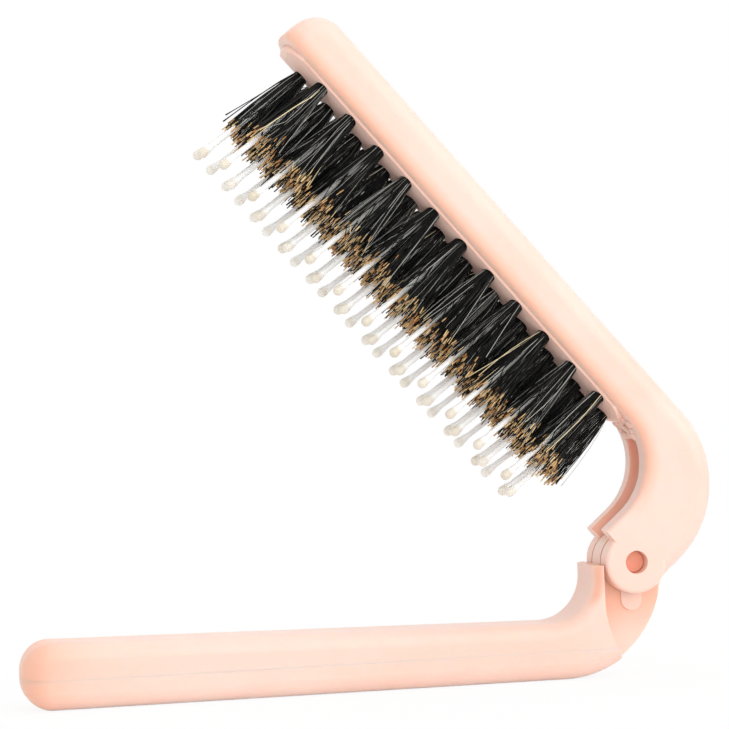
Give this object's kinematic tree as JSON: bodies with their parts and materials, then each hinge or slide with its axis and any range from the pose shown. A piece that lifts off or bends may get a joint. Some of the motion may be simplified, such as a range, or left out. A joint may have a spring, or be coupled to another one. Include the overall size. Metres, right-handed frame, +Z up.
{
  "type": "folding travel brush",
  "caption": "Folding hair brush with a narrow crook-necked head hinged on a straight handle, with dark bristle tufts and ball-tipped pins.",
  "frame": {"origin": "on the floor plane of the handle's flat back, under the middle of the overall box", "axes": "+Z up from the handle's back towards the bristle side, +X along the handle towards the hinge, +Y along the hinge axis; the head is stored half open at 49 degrees to the handle"},
  "size_m": [0.133, 0.0188, 0.1261],
  "materials": {
    "shell_plastic": "satin pale peach moulded plastic",
    "plate_plastic": "matte beige moulded plastic",
    "pin_plastic": "satin peach plastic, a little deeper than the shells",
    "bristle_hair": "black natural hair with tan tips",
    "bristle_nylon": "milky translucent nylon with beige ball ends",
    "anchor_metal": "plain flat strip"
  },
  "bodies": {
    "handle": {"handle_upper_shell": "shell_plastic", "handle_lower_shell": "shell_plastic"},
    "head": {"head_shell": "shell_plastic", "bristle_plate": "plate_plastic", "hinge_pin": "pin_plastic", "tuft_anchors": "anchor_metal", "tuft_row_01": "bristle_hair", "tuft_row_02": "bristle_hair", "tuft_row_03": "bristle_hair", "tuft_row_04": "bristle_hair", "tuft_row_05": "bristle_hair", "tuft_row_06": "bristle_hair", "tuft_row_07": "bristle_hair", "tuft_row_08": "bristle_hair", "tuft_row_09": "bristle_hair", "tuft_row_10": "bristle_hair", "tuft_row_11": "bristle_hair", "tuft_row_12": "bristle_hair", "tuft_row_13": "bristle_hair", "tuft_row_14": "bristle_hair", "tuft_row_15": "bristle_hair", "tuft_row_16": "bristle_hair", "tuft_row_17": "bristle_hair", "tuft_row_18": "bristle_hair", "tuft_row_19": "bristle_hair", "tuft_row_20": "bristle_hair", "tuft_row_21": "bristle_hair", "tuft_row_22": "bristle_hair", "tuft_row_23": "bristle_hair", "ball_pins_row_01": "bristle_nylon", "ball_pins_row_02": "bristle_nylon", "ball_pins_row_03": "bristle_nylon", "ball_pins_row_04": "bristle_nylon", "ball_pins_row_05": "bristle_nylon", "ball_pins_row_06": "bristle_nylon", "ball_pins_row_07": "bristle_nylon", "ball_pins_row_08": "bristle_nylon", "ball_pins_row_09": "bristle_nylon", "ball_pins_row_10": "bristle_nylon", "ball_pins_row_11": "bristle_nylon", "ball_pins_row_12": "bristle_nylon", "ball_pins_row_13": "bristle_nylon", "ball_pins_row_14": "bristle_nylon", "ball_pins_row_15": "bristle_nylon", "ball_pins_row_16": "bristle_nylon", "ball_pins_row_17": "bristle_nylon", "ball_pins_row_18": "bristle_nylon", "ball_pins_row_19": "bristle_nylon", "ball_pins_row_20": "bristle_nylon", "ball_pins_row_21": "bristle_nylon", "ball_pins_row_22": "bristle_nylon", "ball_pins_row_23": "bristle_nylon"}
  },
  "joints": [
    {"name": "fold", "type": "hinge", "parent": "handle", "child": "head", "pos_m": [0.05033, 0, 0.02175], "axis": [0, 1, 0], "range_deg": [-48, 131]}
  ]
}
